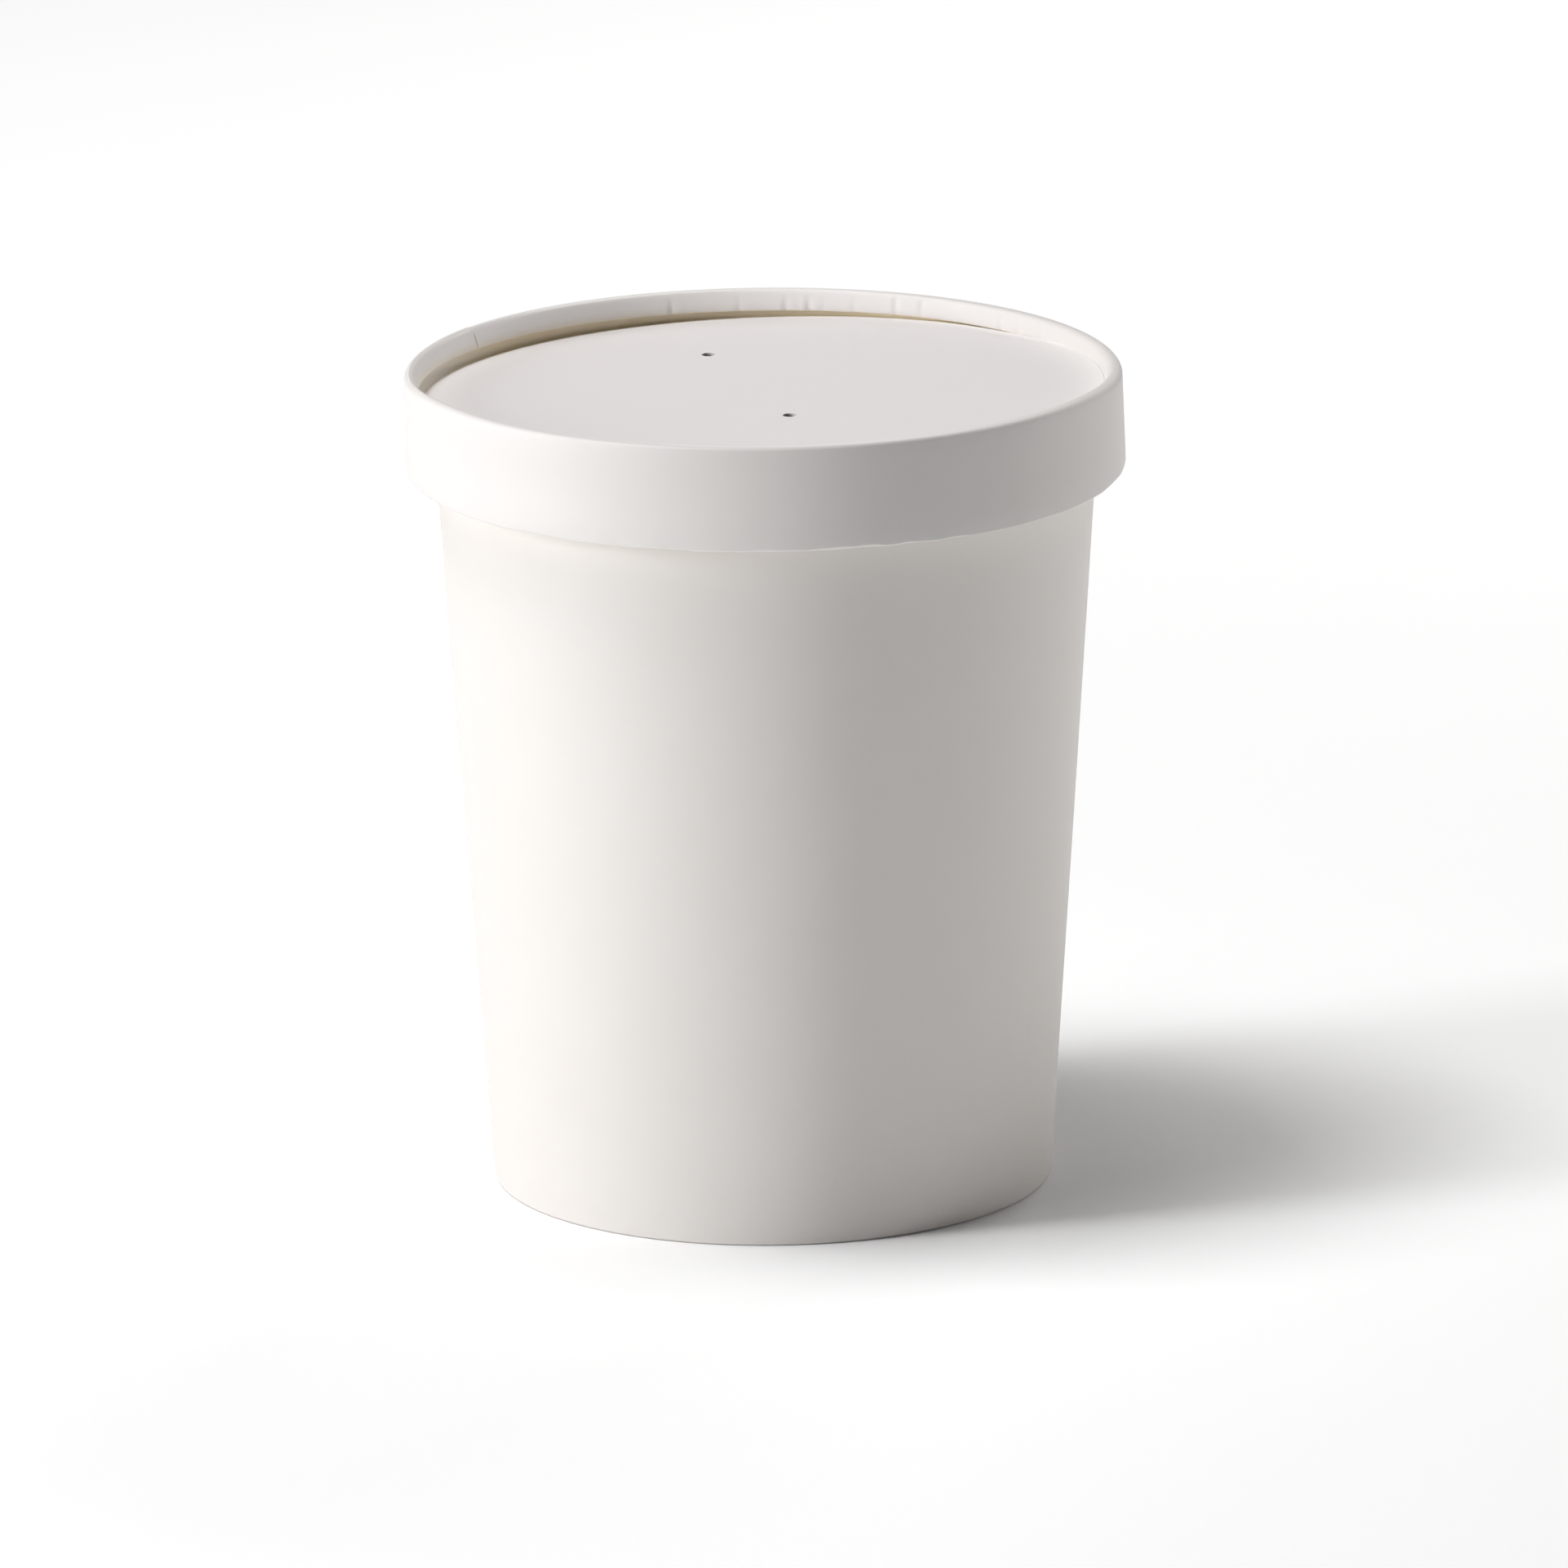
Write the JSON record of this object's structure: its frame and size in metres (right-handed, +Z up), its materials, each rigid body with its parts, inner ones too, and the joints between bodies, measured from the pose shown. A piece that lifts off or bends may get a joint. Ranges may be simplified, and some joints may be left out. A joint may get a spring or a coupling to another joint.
{
  "type": "takeaway soup container",
  "caption": "Tall tapered white paper soup container, shut by a paper lid with a straight skirt, a folded-in hem and a sunken disc with small round vents.",
  "frame": {"origin": "centre of the circle that the foot stands on", "axes": "+Z up along the container's axis; -Y is the side that the picture is taken from"},
  "size_m": [0.1212, 0.1212, 0.1396],
  "materials": {
    "cup_board": "matt white coated board",
    "base_board": "matt white board",
    "band_board": "matt white board with fine wrap creases",
    "disc_board": "matt white board"
  },
  "bodies": {
    "root": {"cup": "cup_board", "cup_base": "base_board", "lid_band": "band_board", "lid_disc": "disc_board"}
  },
  "joints": []
}
